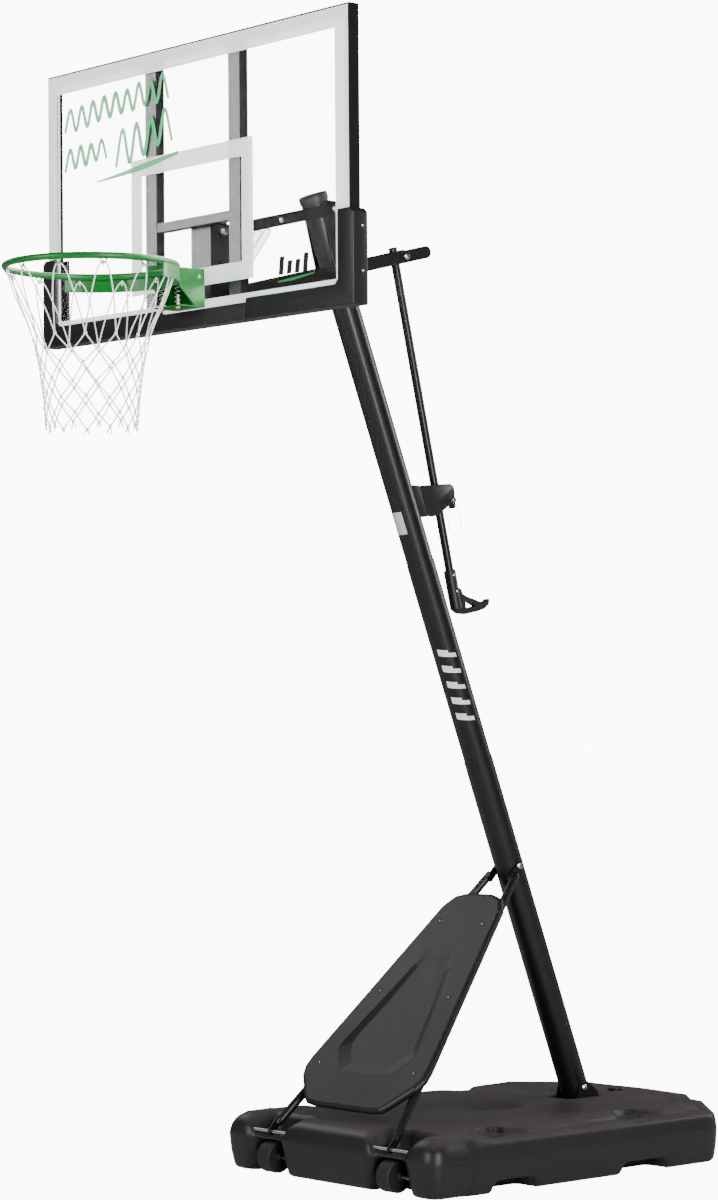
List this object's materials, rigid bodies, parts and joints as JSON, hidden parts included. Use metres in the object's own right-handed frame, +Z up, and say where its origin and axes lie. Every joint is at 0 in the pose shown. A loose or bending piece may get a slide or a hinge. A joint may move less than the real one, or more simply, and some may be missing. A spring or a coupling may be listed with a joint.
{
  "type": "portable basketball hoop",
  "caption": "Free-standing basketball hoop: ballast tank on wheels, leaning pole, parallel lift arms, clear board and sprung ring with net.",
  "frame": {"origin": "middle of the tank's flat underside, on the floor", "axes": "+Z up; -Y towards the ring and the playing side; X = 0 is the plane of symmetry, with the lock pin's head on the +X side"},
  "size_m": [1.41, 2.3876, 3.232],
  "materials": {
    "black_powder_coat": "satin powder coat",
    "green_powder_coat": "satin powder coat",
    "zinc_plated_steel": "bright zinc plate",
    "black_plastic": "blow-moulded, fine texture",
    "black_padding": "moulded, satin",
    "clear_acrylic": "clear, polished",
    "white_net": "twisted cord",
    "label_aluminium": "satin",
    "ballast_water": "water",
    "lanyard_cable": "fine stranded wire",
    "pin_steel": "turned"
  },
  "bodies": {
    "base": {"tank": "black_plastic", "ballast_water": "ballast_water", "pole_lower": "black_powder_coat", "pole_middle": "black_powder_coat", "pole_upper": "black_powder_coat", "pole_cap": "black_plastic", "pole_bracket": "black_powder_coat", "pole_foot_bracket": "black_powder_coat", "pole_foot_bolt": "zinc_plated_steel", "strut_left": "black_powder_coat", "strut_right": "black_powder_coat", "strut_bolt": "zinc_plated_steel", "strut_pin_left": "zinc_plated_steel", "strut_pin_right": "zinc_plated_steel", "shield_panel": "black_plastic", "label_plate": "label_aluminium", "wheel_axle_left": "zinc_plated_steel", "wheel_axle_right": "zinc_plated_steel", "lock_saddle": "black_plastic", "lock_housing_left": "black_plastic", "lock_housing_right": "black_plastic", "lanyard": "lanyard_cable", "lower_pivot_bolt": "zinc_plated_steel", "upper_pivot_bolt": "zinc_plated_steel"},
    "lower_arms": {"lower_arm_left": "black_powder_coat", "lower_arm_right": "black_powder_coat", "rod_pin": "zinc_plated_steel", "rod_spacer_left": "black_plastic", "rod_spacer_right": "black_plastic", "board_lower_bolt": "zinc_plated_steel"},
    "upper_arms": {"upper_arm_left": "black_powder_coat", "upper_arm_right": "black_powder_coat", "spring_anchor_bolt": "zinc_plated_steel"},
    "board": {"backboard_panel": "clear_acrylic", "board_frame": "black_powder_coat", "board_bracket": "black_powder_coat", "board_upper_bolt": "zinc_plated_steel", "edge_pad_left": "black_padding", "edge_pad_right": "black_padding", "rim_bracket": "green_powder_coat", "rim_pivot_pin": "zinc_plated_steel", "rim_stud_left": "zinc_plated_steel", "rim_stud_right": "zinc_plated_steel", "rim_spring_left": "zinc_plated_steel", "rim_spring_right": "zinc_plated_steel"},
    "lift_springs": {"lift_spring_left": "zinc_plated_steel", "lift_spring_right": "zinc_plated_steel"},
    "rim": {"rim_ring": "green_powder_coat", "net": "white_net"},
    "lift_rod": {"lift_rod": "black_powder_coat", "rod_end_cap": "black_plastic", "lift_handle": "black_plastic", "handle_bolt_upper": "zinc_plated_steel", "handle_bolt_lower": "zinc_plated_steel"},
    "latch": {"lock_latch": "black_plastic"},
    "pin": {"lock_pin": "pin_steel", "lanyard_ring": "zinc_plated_steel"},
    "wheel_left": {"wheel_left": "black_plastic"},
    "wheel_right": {"wheel_right": "black_plastic"},
    "filler_cap": {"filler_cap": "black_plastic"}
  },
  "joints": [
    {"name": "height_adjust", "type": "hinge", "parent": "base", "child": "lower_arms", "pos_m": [0, -0.60424, 2.629], "axis": [-1, 0, 0], "range_deg": [-11, 65]},
    {"name": "upper_arms_pivot", "type": "hinge", "parent": "base", "child": "upper_arms", "pos_m": [0, -0.648, 2.8], "axis": [-1, 0, 0], "range_deg": [-11, 65]},
    {"name": "board_level", "type": "hinge", "parent": "lower_arms", "child": "board", "pos_m": [0, -1.01115, 2.52905], "axis": [-1, 0, 0], "range_deg": [-65, 11]},
    {"name": "rod_swing", "type": "hinge", "parent": "lower_arms", "child": "lift_rod", "pos_m": [0, -0.37457, 2.68541], "axis": [-1, 0, 0], "range_deg": [-73, 12.5]},
    {"name": "lift_springs_swing", "type": "hinge", "parent": "upper_arms", "child": "lift_springs", "pos_m": [0, -0.85, 2.75039], "axis": [-1, 0, 0], "range_deg": [-20, 4], "deforming": ["lift_spring_left", "lift_spring_right"]},
    {"name": "rim_breakaway", "type": "hinge", "parent": "board", "child": "rim", "pos_m": [0, -1.15, 2.565], "axis": [1, 0, 0], "range_deg": [0, 25], "stiffness_Nm_per_rad": 260, "springref_deg": -6.88, "deforming": ["rim_spring_left", "rim_spring_right"]},
    {"name": "latch_turn", "type": "hinge", "parent": "base", "child": "latch", "pos_m": [0, -0.171, 2.011], "axis": [1, 0, 0], "range_deg": [0, 28], "stiffness_Nm_per_rad": 0.4, "springref_deg": -5.73},
    {"name": "lock_pin_pull", "type": "slide", "parent": "base", "child": "pin", "axis": [1, 0, 0], "range_m": [0, 0.06]},
    {"name": "filler_cap_lift", "type": "slide", "parent": "base", "child": "filler_cap", "axis": [0, 0, 1], "range_m": [0, 0.03]},
    {"name": "wheel_spin_left", "type": "hinge", "parent": "base", "child": "wheel_left", "pos_m": [-0.265, -0.64, 0.05], "axis": [1, 0, 0], "continuous": true},
    {"name": "wheel_spin_right", "type": "hinge", "parent": "base", "child": "wheel_right", "pos_m": [0.265, -0.64, 0.05], "axis": [1, 0, 0], "continuous": true}
  ],
  "couplings": [
    {"joint": "upper_arms_pivot", "follows": "height_adjust", "ratio": 1},
    {"joint": "board_level", "follows": "height_adjust", "ratio": -1},
    {"joint": "rod_swing", "follows": "height_adjust", "ratio": -1.12},
    {"joint": "lift_springs_swing", "follows": "height_adjust", "ratio": -0.3}
  ]
}
